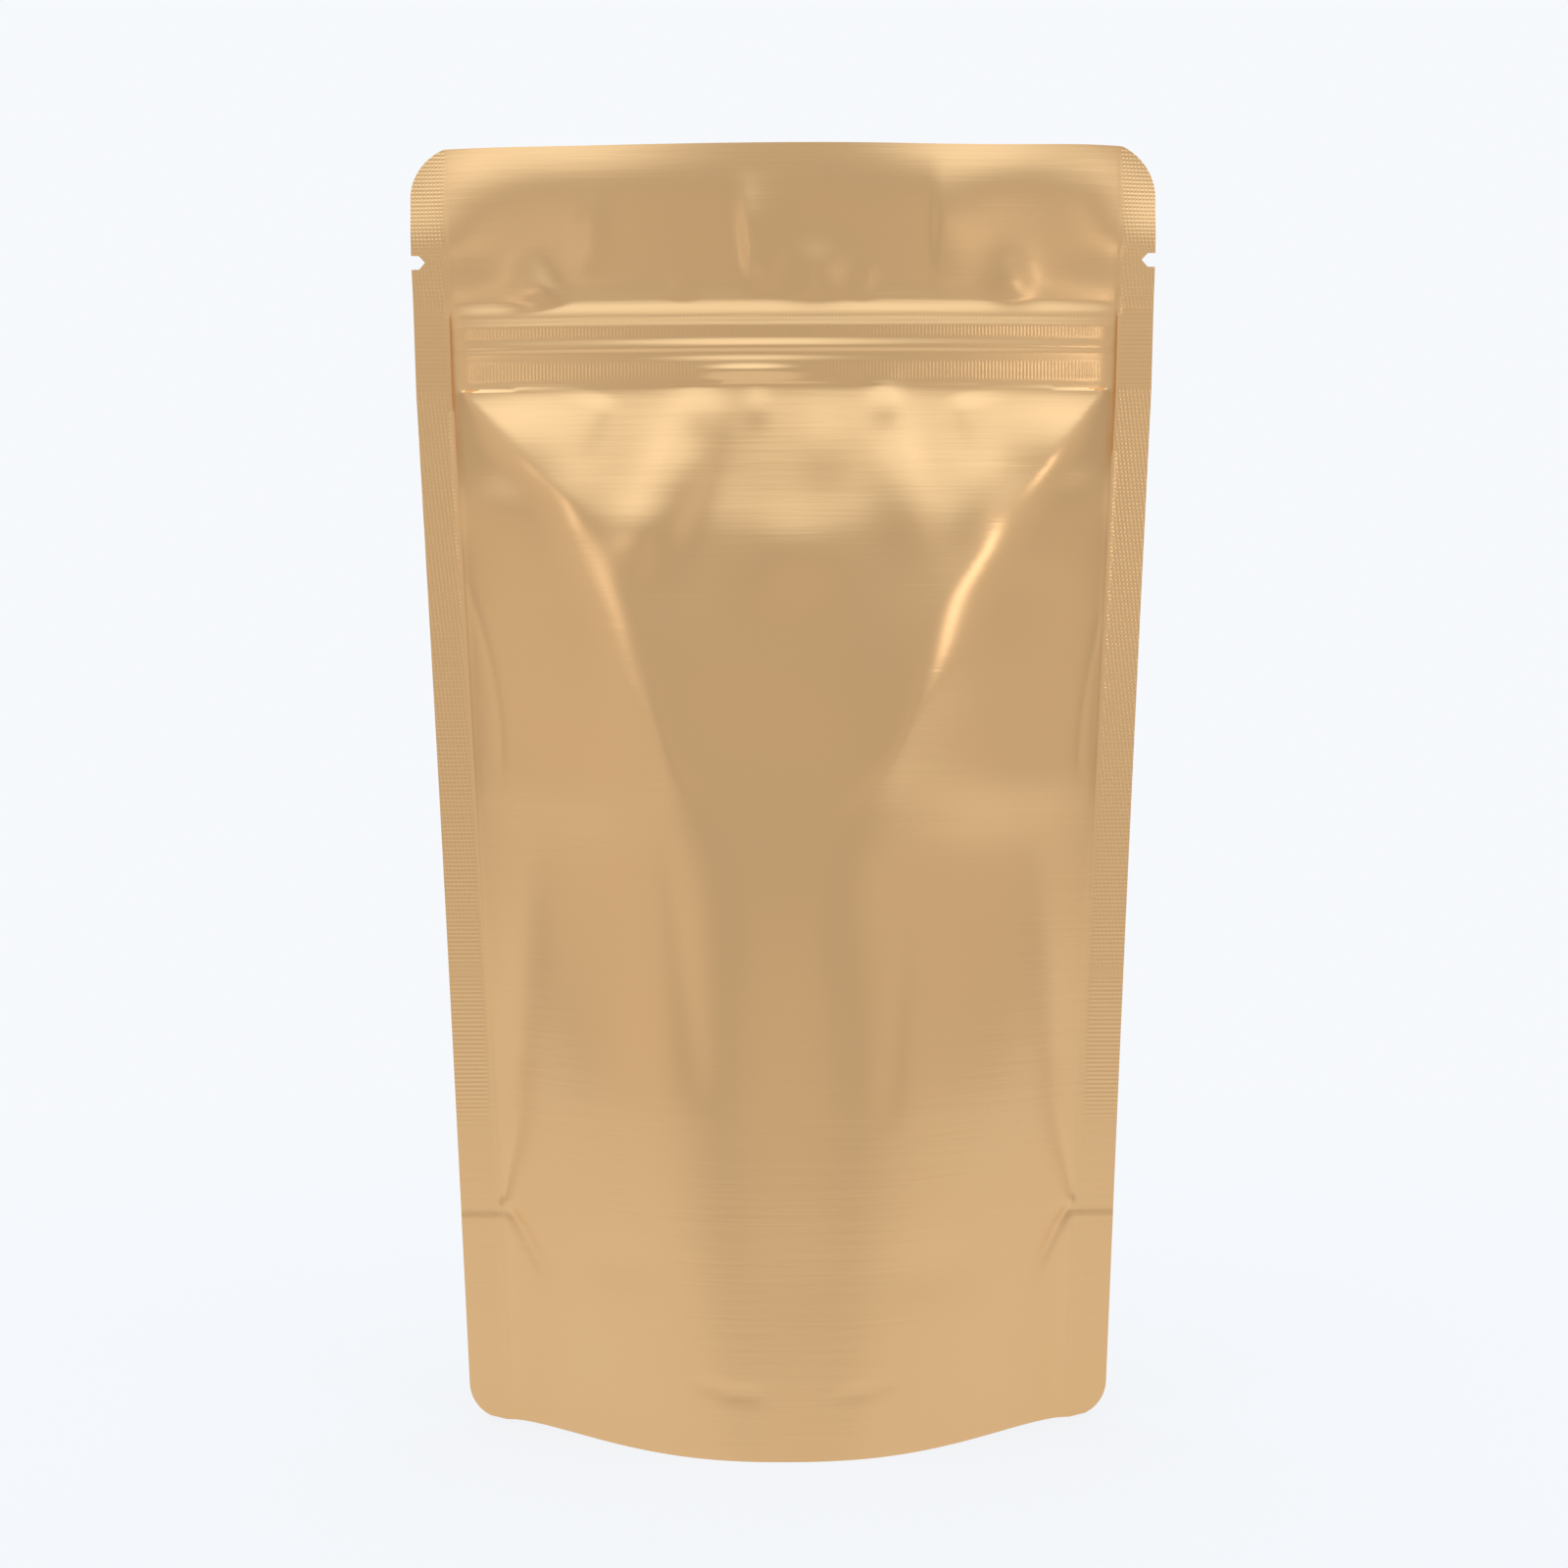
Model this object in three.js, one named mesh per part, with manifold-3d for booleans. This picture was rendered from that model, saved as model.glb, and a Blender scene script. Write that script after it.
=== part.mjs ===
// A stand-up pouch of gold foil film: two panels sealed along both sides, a press-to-close zip below the
// top edge, a tear notch in each side seal, and a folded gusset that spreads the foot so that it stands.
// Millimetres, +Z up. The front panel faces -Y. The origin is on the floor, below the middle of the pouch.
import * as THREE from "three";
import { mergeVertices } from "three/addons/utils/BufferGeometryUtils.js";
import Module from "manifold-3d";

// Outline of the flat pouch, as half widths at three heights.
const HEIGHT = 223;
const TOP_HALF_WIDTH = 65;
const ZIP_HALF_WIDTH = 64.1;
const FOOT_HALF_WIDTH = 55.8;
const WAIST = 0.25; // how far the sides curve in between the zip and the foot
const SHOULDER_HEIGHT = 214.3;
const TOP_CORNER = { radius: 9.5, drop: 8.7 };
const FOOT_CORNER = { radius: 6.3, rise: 6.3 };

// Side seals: flat fins along both sides.
const SEAL_WIDTH = 6.2;
const SEAL_THICKNESS = 0.6;

// The zip: a flat strip across the pouch, with a raised track along its middle.
const ZIP_BOTTOM = 180.5;
const ZIP_TOP = 195.4;
const ZIP_HALF_DEPTH = 1.5;
const ZIP_TRACK = { height: 187.6, halfHeight: 1.6, rise: 0.5 };
const COLLAR_HALF_DEPTH = 0.9; // film above the zip, either side of the middle sheet
const BOW = 3.4; // how far the zip and the collar bow towards the front

// The belly along its middle, going down from the zip: a steep brow, a chest and a nearly upright belly. Each is
// a half depth at the zip's height with its growth for each millimetre down, and the shallowest one shows.
const BROW = { start: ZIP_HALF_DEPTH, slope: 0.35 };
const CHEST = { start: 5, slope: 0.19 };
const BELLY = { start: 13.9, slope: 0.09 };
const BROW_SOFTNESS = 0.8;
const BELLY_SOFTNESS = 1.6;

// The cheeks, which rise from the seams: a roll next to the seam, then a slope that changes with height.
const SHOULDER_ROLL = { rise: 1.3, run: 3.2 };
const SLACK_CHEEK = { heights: [70, 108, 165], slopes: [0.5, 0.45, 0.32] };
const TAUT_CHEEK = { heights: [70, 125, 172], slopes: [0.5, 0.4, 0.45] };
const RIDGE_SOFTNESS = { high: 1, low: 2, from: 92, to: 124 };

// Below the cheeks the section turns round: how much of the cheeks shows at each height, and the round section.
const CHEEK_SHARE = { heights: [56, 104, 118], shares: [0, 0.72, 1] };
const ROUND_SECTION = { power: 2.4, end: 1.6 }; // at the floor
const FULL_SECTION = { power: 2.7, end: 1.45 }; // well above it
const SECTION_CHANGE = { low: -10, high: 95 };

// Pinches where the slack film gathers below the zip: place across, depth, half width, reach down, lean.
const PINCHES = [
  { x: -30, depth: 0.7, halfWidth: 4, reach: 11, lean: 0 },
  { x: -7.6, depth: 1.5, halfWidth: 4, reach: 17, lean: -0.28 },
  { x: 16.7, depth: 1.1, halfWidth: 4, reach: 14, lean: -0.25 },
  { x: 31.2, depth: 0.7, halfWidth: 4, reach: 11, lean: -0.12 },
];
const PINCH_SPREAD = 0.3; // widening of a pinch for each millimetre down

// The foot: the rim that stands on the floor, and the gusset arching up between the panels.
const RIM_WIDTH = 1.2;
const GUSSET = { middleRise: 6.7, sideRise: 36.4, foldRise: 2.4, halfLength: 45, power: 2.15 };
const CUT_BELOW = 1; // how far the gusset's cutter reaches below the floor

// Tear notches, cut from the edge of each side seal.
const NOTCH = { height: 202.8, halfHeight: 1.2, slot: 1.3, depth: 2.4 };

// How finely the panels are divided.
const PANEL_COLUMNS = 38;
const SEAL_COLUMNS = 2;
const EDGE_CROWDING = 0.4; // share of the column spacing that closes up towards the seals
const GUSSET_COLUMNS = 30;
const GUSSET_ROWS = { wall: 4, dome: 8 };

const { smoothstep } = THREE.MathUtils;
const lerp = (a, b, share) => a + (b - a) * share;
// A value that changes smoothly with height through a few set places.
const course = (z, heights, values) =>
  heights.slice(1).reduce(
    (sum, height, i) => sum + (values[i + 1] - values[i]) * smoothstep(z, heights[i], height),
    values[0],
  );
const steps = (from, to, count) => Array.from({ length: count }, (_, i) => lerp(from, to, i / count));
const PANEL_HEIGHTS = [
  ...steps(0, FOOT_CORNER.rise, 4),
  ...steps(FOOT_CORNER.rise, ZIP_BOTTOM - 9, 27),
  ...steps(ZIP_BOTTOM - 9, ZIP_BOTTOM, 4),
  ...steps(ZIP_BOTTOM, ZIP_TOP, 9),
  ...steps(ZIP_TOP, HEIGHT - TOP_CORNER.drop, 5),
  ...steps(HEIGHT - TOP_CORNER.drop, HEIGHT, 5),
  HEIGHT,
];

function softMin(a, b, softness) {
  const closeness = Math.max(softness - Math.abs(a - b), 0) / softness;
  return Math.min(a, b) - (closeness * closeness * softness) / 4;
}

// Half width of the pouch with square corners.
function squareHalfWidth(z) {
  if (z < ZIP_BOTTOM) {
    const up = z / ZIP_BOTTOM;
    return lerp(FOOT_HALF_WIDTH, ZIP_HALF_WIDTH, up) - WAIST * Math.sin(Math.PI * up);
  }
  const share = Math.min(1, (z - ZIP_BOTTOM) / (SHOULDER_HEIGHT - ZIP_BOTTOM));
  return lerp(ZIP_HALF_WIDTH, TOP_HALF_WIDTH, share);
}

// How much a rounded corner takes off the half width, at a distance past the centre of its arc.
function cornerLoss(radius, past) {
  return past > 0 ? radius - Math.sqrt(radius * radius - past * past) : 0;
}

function halfWidth(z) {
  return (
    squareHalfWidth(z) -
    cornerLoss(TOP_CORNER.radius, z - (HEIGHT - TOP_CORNER.drop)) -
    cornerLoss(FOOT_CORNER.radius, FOOT_CORNER.rise - z)
  );
}

// Half width between the inner edges of the side seals.
function bodyHalfWidth(z) {
  return Math.min(squareHalfWidth(z) - SEAL_WIDTH, halfWidth(z) - 0.4);
}

// Half depth away from the cheeks.
function middleHalfDepth(z) {
  const below = Math.max(0, ZIP_BOTTOM - z);
  const [brow, chest, belly] = [BROW, CHEST, BELLY].map(({ start, slope }) => start + slope * below);
  return softMin(softMin(brow, chest, BROW_SOFTNESS), belly, BELLY_SOFTNESS);
}

// Upper body: sloping down from the zip and in from the seals, which meet in two slanting ridges.
function cheekedDepth(x, z, cheek) {
  const inset = bodyHalfWidth(z) - Math.abs(x);
  const roll = SHOULDER_ROLL.rise * (1 - Math.exp(-inset / SHOULDER_ROLL.run));
  const slope = course(z, cheek.heights, cheek.slopes);
  const high = smoothstep(z, RIDGE_SOFTNESS.from, RIDGE_SOFTNESS.to);
  const softness = lerp(RIDGE_SOFTNESS.low, RIDGE_SOFTNESS.high, high);
  return softMin(middleHalfDepth(z), roll + slope * inset, softness);
}

// Lower body: one smooth swell from seal to seal.
function roundDepth(x, z) {
  const share = smoothstep(z, SECTION_CHANGE.low, SECTION_CHANGE.high);
  const power = lerp(ROUND_SECTION.power, FULL_SECTION.power, share);
  const end = lerp(ROUND_SECTION.end, FULL_SECTION.end, share);
  const across = Math.min(1, Math.abs(x) / bodyHalfWidth(z));
  return middleHalfDepth(z) * (1 - across ** power) ** end;
}

// Dents in the film below the zip, each deepest a little way down and fading as it spreads.
function pinchDepth(x, z) {
  const below = ZIP_BOTTOM - z;
  if (below <= 0) return 0;
  return PINCHES.reduce((sum, pinch) => {
    const spread = pinch.halfWidth * 0.5 + PINCH_SPREAD * below;
    const across = (x - pinch.x - pinch.lean * below) / spread;
    const along = (below / pinch.reach) * Math.exp(1 - below / pinch.reach);
    return sum + pinch.depth * Math.exp(-across * across) * along;
  }, 0);
}

function zipHalfDepth(z) {
  const offTrack = (z - ZIP_TRACK.height) / ZIP_TRACK.halfHeight;
  return ZIP_HALF_DEPTH + ZIP_TRACK.rise * Math.exp(-offTrack * offTrack);
}

// Half depth of the pouch from its middle sheet, between the seals.
function swell(x, z, cheek) {
  if (z > ZIP_TOP) {
    const share = smoothstep(z, ZIP_TOP, ZIP_TOP + 3);
    return lerp(ZIP_HALF_DEPTH, COLLAR_HALF_DEPTH, share);
  }
  if (z >= ZIP_BOTTOM) return zipHalfDepth(z);
  const share = course(z, CHEEK_SHARE.heights, CHEEK_SHARE.shares);
  return lerp(roundDepth(x, z), cheekedDepth(x, z, cheek), share) - pinchDepth(x, z);
}

// How far the middle sheet lies in front of the seals.
function bow(x, z) {
  const across = Math.min(1, Math.abs(x) / bodyHalfWidth(z));
  return BOW * (1 - across * across) * smoothstep(z, 100, ZIP_BOTTOM);
}

// Distance of a panel's outer face from the middle sheet. At the seal's inner edge it drops to the fin.
function halfDepth(x, z, cheek) {
  const fin = SEAL_THICKNESS / 2;
  const inset = bodyHalfWidth(z) - Math.abs(x);
  if (inset <= 0) return fin;
  const shoulder = Math.min(1, inset / ZIP_HALF_DEPTH);
  return Math.max(fin, lerp(fin, swell(x, z, cheek), shoulder));
}

// The slack cheek is on the left of each panel, as seen by one who faces it.
const frontDepth = (x, z) => halfDepth(x, z, x < 0 ? SLACK_CHEEK : TAUT_CHEEK);
const backDepth = (x, z) => halfDepth(x, z, x > 0 ? SLACK_CHEEK : TAUT_CHEEK);
const frontY = (x, z) => -frontDepth(x, z) - bow(x, z);
const backY = (x, z) => backDepth(x, z) - bow(x, z);

// Where column number i of a panel lies at a height: the fins' columns first and last, the body's between.
function columnX(i, z) {
  const columns = PANEL_COLUMNS + 2 * SEAL_COLUMNS;
  const side = i < columns / 2 ? -1 : 1;
  const fromEdge = side < 0 ? i : columns - i;
  if (fromEdge < SEAL_COLUMNS) {
    return side * lerp(halfWidth(z), bodyHalfWidth(z), fromEdge / SEAL_COLUMNS);
  }
  const across = (2 * (i - SEAL_COLUMNS)) / PANEL_COLUMNS - 1;
  const crowded = Math.sin((across * Math.PI) / 2);
  return bodyHalfWidth(z) * lerp(across, crowded, EDGE_CROWDING);
}

// A closed skin over equal loops of points, each loop mirrored about its middle, with both ends covered.
function skin(loops) {
  const size = loops[0].length;
  const corners = [];
  const quad = (a, b, c, d) => corners.push(a, b, c, a, c, d);
  for (let i = 0; i + 1 < loops.length; i++) {
    for (let j = 0; j < size; j++) {
      const next = (j + 1) % size;
      quad(loops[i][j], loops[i][next], loops[i + 1][next], loops[i + 1][j]);
    }
  }
  const [first, last] = [loops[0], loops[loops.length - 1]];
  for (let j = 0; j + 1 < size / 2; j++) {
    quad(first[j], first[size - 1 - j], first[size - 2 - j], first[j + 1]);
    quad(last[j], last[j + 1], last[size - 2 - j], last[size - 1 - j]);
  }
  return new THREE.BufferGeometry().setFromPoints(corners);
}

// The pouch as if its foot were filled in flat: each loop runs down the front and up the back.
function filledPouch() {
  const loops = [];
  for (let i = 0; i <= PANEL_COLUMNS + 2 * SEAL_COLUMNS; i++) {
    const front = [...PANEL_HEIGHTS].reverse().map((z) => {
      const x = columnX(i, z);
      return new THREE.Vector3(x, frontY(x, z), z);
    });
    const back = PANEL_HEIGHTS.map((z) => {
      const x = columnX(i, z);
      return new THREE.Vector3(x, backY(x, z), z);
    });
    loops.push([...front, ...back]);
  }
  return skin(loops);
}

// Height of the seal's inner edge, where the gusset leaves the panels: low in the middle, high at the sides.
function gussetEdgeHeight(x) {
  const across = Math.abs(x) / GUSSET.halfLength;
  return lerp(GUSSET.middleRise, GUSSET.sideRise, across ** GUSSET.power);
}

// The hollow under the gusset, between the rims of the two panels.
function gussetHollow() {
  const loops = [];
  for (let i = 0; i <= GUSSET_COLUMNS; i++) {
    const x = lerp(-GUSSET.halfLength, GUSSET.halfLength, i / GUSSET_COLUMNS);
    const top = gussetEdgeHeight(x);
    const inside = (z) => Math.max(0.35, roundDepth(x, Math.max(0, z)) - RIM_WIDTH);
    const wall = [-CUT_BELOW, ...steps(0, top, GUSSET_ROWS.wall), top];
    const front = wall.map((z) => new THREE.Vector3(x, -inside(z), z));
    const dome = steps(-1, 1, GUSSET_ROWS.dome)
      .slice(1)
      .map((v) => new THREE.Vector3(x, v * inside(top), top + GUSSET.foldRise * (1 - v * v)));
    const back = wall.map((z) => new THREE.Vector3(x, inside(z), z)).reverse();
    loops.push([...front, ...dome, ...back].reverse());
  }
  return skin(loops);
}

// A tear notch's cutter, on the right edge for side 1 and the left for side -1.
function notchCutter(side) {
  const edge = halfWidth(NOTCH.height);
  const outline = new THREE.Shape([
    new THREE.Vector2(side * (edge + 1), -NOTCH.halfHeight),
    new THREE.Vector2(side * (edge + 1), NOTCH.halfHeight),
    new THREE.Vector2(side * (edge - NOTCH.slot), NOTCH.halfHeight),
    new THREE.Vector2(side * (edge - NOTCH.depth), 0),
    new THREE.Vector2(side * (edge - NOTCH.slot), -NOTCH.halfHeight),
  ]);
  const reach = 4;
  return new THREE.ExtrudeGeometry(outline, { depth: reach, bevelEnabled: false })
    .rotateX(Math.PI / 2)
    .translate(0, reach / 2, NOTCH.height);
}

const wasm = await Module();
wasm.setup();

function solidOf(geometry) {
  const bare = geometry.clone();
  bare.deleteAttribute("normal");
  bare.deleteAttribute("uv");
  const merged = mergeVertices(bare, 1e-4);
  return new wasm.Manifold(
    new wasm.Mesh({
      numProp: 3,
      vertProperties: merged.attributes.position.array,
      triVerts: new Uint32Array(merged.index.array),
    }),
  );
}

function geometryOf(solid) {
  const mesh = solid.getMesh();
  return new THREE.BufferGeometry()
    .setAttribute("position", new THREE.BufferAttribute(mesh.vertProperties, 3))
    .setIndex(new THREE.BufferAttribute(mesh.triVerts, 1));
}

const goldFoil = new THREE.MeshStandardMaterial({ color: 0xd2a878, roughness: 0.38, metalness: 0.9 });

const pouchSolid = solidOf(filledPouch())
  .subtract(solidOf(gussetHollow()))
  .subtract(solidOf(notchCutter(-1)))
  .subtract(solidOf(notchCutter(1)));
const pouch = new THREE.Mesh(geometryOf(pouchSolid), goldFoil);
pouch.geometry.computeVertexNormals();
pouch.name = "pouch";

const part = new THREE.Group();
part.add(pouch);
export default part;
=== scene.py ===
"""Looks of a stand-up pouch of gold foil film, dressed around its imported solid.

The pouch is three sheets of film welded together: a front panel, a back panel, and a gusset that spreads
the foot. Each sheet starts flat, as the film does. It is then shaped by the air that holds it open, by the
zip, and by a list of folds. Sizes and places are in millimetres, and become metres when a mesh is made. x
runs across the pouch and z up it. The front panel faces -Y.
"""

import logging
import math
from dataclasses import dataclass, field
from enum import Enum

import bpy
import numpy as np
from mathutils import Matrix, Vector


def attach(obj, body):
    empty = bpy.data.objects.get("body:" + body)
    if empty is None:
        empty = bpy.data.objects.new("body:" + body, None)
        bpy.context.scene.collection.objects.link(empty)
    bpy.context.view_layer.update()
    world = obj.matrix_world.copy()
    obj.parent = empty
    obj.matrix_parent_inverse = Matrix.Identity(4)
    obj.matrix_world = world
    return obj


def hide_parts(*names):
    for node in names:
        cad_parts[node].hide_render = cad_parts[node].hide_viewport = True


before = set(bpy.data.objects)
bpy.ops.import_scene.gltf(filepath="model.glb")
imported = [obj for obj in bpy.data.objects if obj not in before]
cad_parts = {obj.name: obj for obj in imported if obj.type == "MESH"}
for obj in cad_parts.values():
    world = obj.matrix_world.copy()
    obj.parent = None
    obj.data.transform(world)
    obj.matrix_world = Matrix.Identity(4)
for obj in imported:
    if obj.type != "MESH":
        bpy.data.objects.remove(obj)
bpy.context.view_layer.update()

MM = 0.001
Array = np.ndarray
Colour = tuple[float, float, float]
Place = tuple[float, float, float]
Range = tuple[float, float]
Input = bpy.types.NodeSocket | float
Sockets = dict[str, bpy.types.NodeSocket]
SMOOTH_ANGLE = 50.0

logging.basicConfig(level=logging.INFO, format="%(message)s")
log = logging.getLogger("pouch")


def smoothstep(value: Array, low: float, high: float) -> Array:
    """Rise smoothly from 0 at low to 1 at high."""
    share = np.clip((value - low) / (high - low), 0.0, 1.0)
    return share * share * (3.0 - 2.0 * share)


def soft_min(a: Array, b: Array, softness: Array | float) -> Array:
    """Take the lower of two surfaces, with the corner between them rounded off.

    Args:
        a: Heights of the first surface.
        b: Heights of the second surface.
        softness: How close the two are where the rounding starts.

    Returns:
        The heights of the joined surface.
    """
    closeness = np.maximum(softness - np.abs(a - b), 0.0) / softness
    return np.minimum(a, b) - closeness * closeness * softness / 4.0


def bell(value: Array) -> Array:
    """Give a bell curve, which is 1 at 0 and all but 0 past 2."""
    return np.exp(-value * value)


def deselect_all() -> None:
    """Deselect everything, so that the next operator acts on its own piece alone."""
    bpy.ops.object.select_all(action="DESELECT")


# -------------------- the film's form


@dataclass(frozen=True)
class Corner:
    """A rounded corner of the outline: the radius of its arc, and the height it takes."""

    radius: float
    reach: float

    def loss(self, past: Array) -> Array:
        """Give what the arc takes off the half width, at a distance past the arc's centre."""
        turned = np.clip(past, 0.0, self.reach)
        return self.radius - np.sqrt(self.radius**2 - turned**2)


@dataclass(frozen=True)
class Notch:
    """The tear notch in each side seal: a slot with a pointed end."""

    height: float = 202.8
    half_height: float = 1.2
    slot: float = 1.3
    depth: float = 2.4

    def loss(self, z: Array) -> Array:
        """Give what the notch takes off the half width at each height."""
        off = np.abs(z - self.height) / self.half_height
        return np.where(off < 1.0, self.depth + (self.slot - self.depth) * off, 0.0)


@dataclass(frozen=True)
class Outline:
    """The outline of the standing pouch, seen from the front."""

    height: float = 223.0
    top_half_width: float = 65.0
    zip_half_width: float = 64.1
    foot_half_width: float = 55.8
    waist: float = 0.25
    shoulder: float = 214.3
    top_corner: Corner = Corner(9.5, 8.7)
    foot_corner: Corner = Corner(6.3, 6.3)
    notch: Notch = Notch()
    zip_bottom: float = 180.1
    seal_width: float = 6.2
    least_seal: float = 0.35
    gusset_fold: float = 36.4

    def square_half_width(self, z: Array) -> Array:
        """Give the half width as if the corners were square and the edge had no notch.

        Args:
            z: Heights.

        Returns:
            The half width at each height.
        """
        below = np.clip(z / self.zip_bottom, 0.0, 1.0)
        above = np.clip((z - self.zip_bottom) / (self.shoulder - self.zip_bottom), 0.0, 1.0)
        lower = self.foot_half_width + (self.zip_half_width - self.foot_half_width) * below
        upper = (self.top_half_width - self.zip_half_width) * above
        return lower + upper - self.waist * np.sin(math.pi * below)

    def half_width(self, z: Array) -> Array:
        """Give the half width of the film, with its corners and notches.

        Args:
            z: Heights.

        Returns:
            The half width at each height.
        """
        top = self.top_corner.loss(z - (self.height - self.top_corner.reach))
        foot = self.foot_corner.loss(self.foot_corner.reach - z)
        return self.square_half_width(z) - top - foot - self.notch.loss(z)

    def inner_half_width(self, z: Array) -> Array:
        """Give the half width between the side seals at each height."""
        return np.minimum(self.square_half_width(z) - self.seal_width, self.half_width(z) - self.least_seal)


@dataclass(frozen=True)
class Dent:
    """An oval hollow (negative lift) or swelling (positive lift) in a panel."""

    x: float
    z: float
    across: float
    up: float
    lift: float
    lean: float = 0.0

    def at(self, x: Array, z: Array) -> Array:
        """Give how far the dent pushes each point out.

        Args:
            x: Places across the pouch.
            z: Heights.

        Returns:
            The lift at each place.
        """
        turn = math.radians(self.lean)
        dx, dz = x - self.x, z - self.z
        along = dx * math.cos(turn) + dz * math.sin(turn)
        aside = dz * math.cos(turn) - dx * math.sin(turn)
        return self.lift * bell(along / self.across) * bell(aside / self.up)


@dataclass(frozen=True)
class Crease:
    """A ridge (positive lift) or valley (negative lift) along a line that may bend.

    The width is the half width at the head and at the tail, on the -X side of a crease that runs down. The
    skew is how many times wider the other side is. The fade is the share of the length that the fold takes
    to grow at its head and to die out at its tail. A power of 2 rounds its crest, and 1 creases it.
    """

    head: Range
    tail: Range
    lift: float
    width: Range
    bend: float = 0.0
    fade: Range = (0.15, 0.35)
    power: float = 2.0
    skew: float = 1.0
    start: float = -0.01

    def at(self, x: Array, z: Array) -> Array:
        """Give how far the crease pushes each point out.

        Args:
            x: Places across the pouch.
            z: Heights.

        Returns:
            The lift at each place.
        """
        run = (self.tail[0] - self.head[0], self.tail[1] - self.head[1])
        length = math.hypot(*run)
        dx, dz = x - self.head[0], z - self.head[1]
        along = (dx * run[0] + dz * run[1]) / length**2
        aside = (dz * run[0] - dx * run[1]) / length
        inside = np.clip(along, 0.0, 1.0)
        aside = aside - 4.0 * self.bend * inside * (1.0 - inside)
        width = self.width[0] + (self.width[1] - self.width[0]) * inside
        width = width * np.where(aside > 0.0, self.skew, 1.0)
        grown = smoothstep(along, self.start, self.fade[0])
        left = 1.0 - smoothstep(along, 1.0 - self.fade[1], 1.0)
        return self.lift * grown * left * np.exp(-(np.abs(aside / width) ** self.power))


Folds = tuple[Dent | Crease, ...]


@dataclass(frozen=True)
class Course:
    """A value that changes smoothly with height, through a few set places from the foot up."""

    heights: tuple[float, ...]
    values: tuple[float, ...]

    def at(self, z: Array) -> Array:
        """Give the course's value.

        Args:
            z: Heights.

        Returns:
            The value at each height.
        """
        total = self.values[0]
        for i in range(1, len(self.heights)):
            change = self.values[i] - self.values[i - 1]
            total = total + change * smoothstep(z, self.heights[i - 1], self.heights[i])
        return total


@dataclass(frozen=True)
class Cheek:
    """The flat side of the pouch next to a seal: how steeply it rises, and how round its ridge is.

    The step is the part of its depth that it gains at once, within the run from the seam.
    """

    slope: Course
    ridge_softness: Course
    step: Course = Course((143.0, 163.0, 175.0, 180.0), (1.4, 0.4, 0.4, 1.0))
    run: Course = Course((172.0, 180.0), (3.2, 2.3))

    def depth(self, inset: Array, z: Array) -> Array:
        """Give the cheek's depth at a distance in from the seam."""
        return self.step.at(z) * (1.0 - np.exp(-inset / self.run.at(z))) + self.slope.at(z) * inset


@dataclass(frozen=True)
class Brow:
    """The slack film just below the zip: nearly upright at the zip, and then sloping out to the chest."""

    slope: float = 0.335
    start_slope: float = 0.05
    start_run: float = 1.1

    def depth(self, below: Array) -> Array:
        """Give how far the film has come out at a distance below the zip."""
        lost = (self.slope - self.start_slope) * self.start_run
        return self.slope * below - lost * (1.0 - np.exp(-below / self.start_run))


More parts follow.
